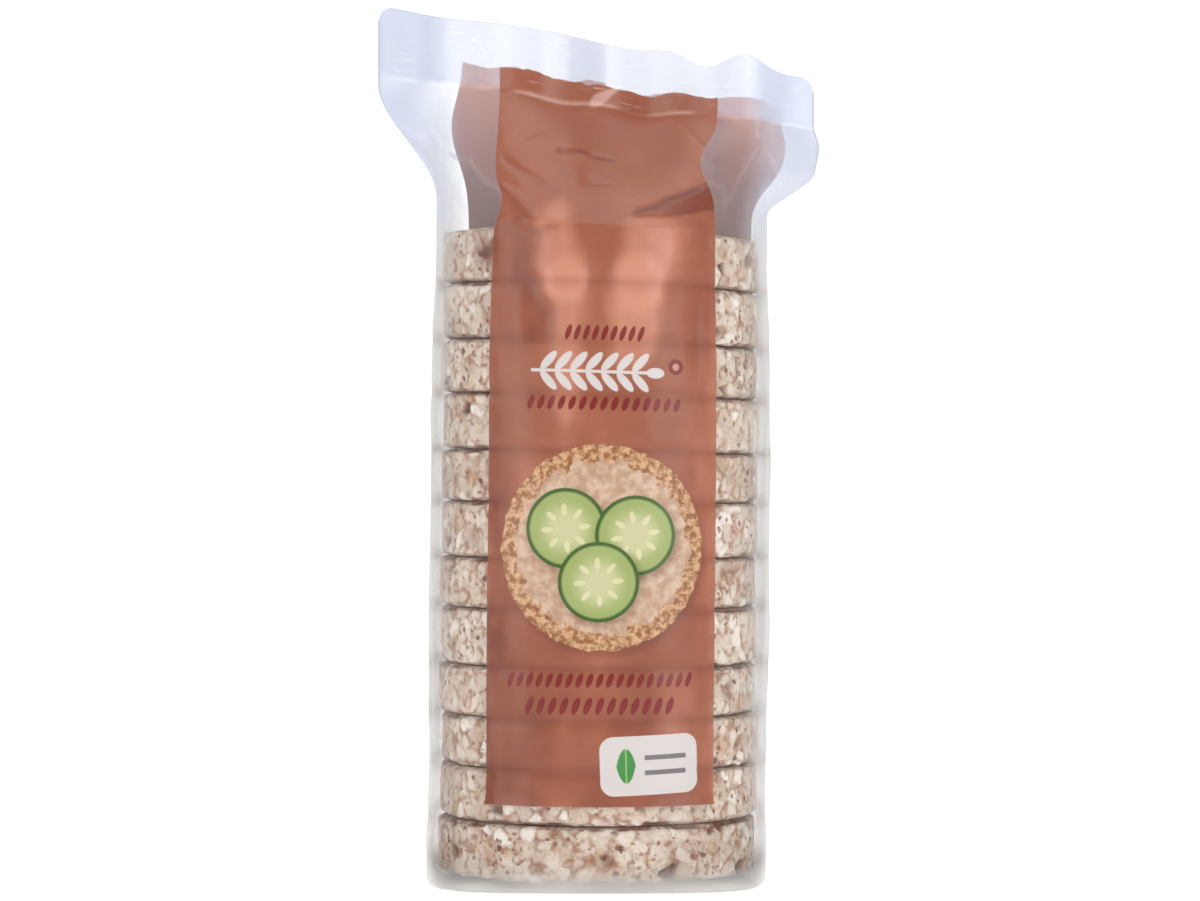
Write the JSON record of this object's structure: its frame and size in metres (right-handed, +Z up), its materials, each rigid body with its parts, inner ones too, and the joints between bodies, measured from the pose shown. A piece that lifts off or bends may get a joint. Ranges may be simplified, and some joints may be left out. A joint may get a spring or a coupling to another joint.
{
  "type": "pack of puffed rice cakes",
  "caption": "Sealed clear film bag round an upright stack of thick round puffed rice cakes, with a wide wavy top seal and a flat folded base to stand on.",
  "frame": {"origin": "middle of the flat base that the pack stands on", "axes": "+Z up along the stack, -Y towards the printed front, +X to the right of the front"},
  "size_m": [0.133, 0.0944, 0.2617],
  "materials": {
    "clear_film": "thin clear glossy film over pale puffed grain; the colour is what shows through it",
    "printed_film": "brown ink on clear film, slightly see-through, satin gloss",
    "puffed_grain": "dry matte puffed rice and other grains, off-white with brown bran flecks"
  },
  "bodies": {
    "root": {"sealed_bag": "clear_film"}
  },
  "joints": []
}
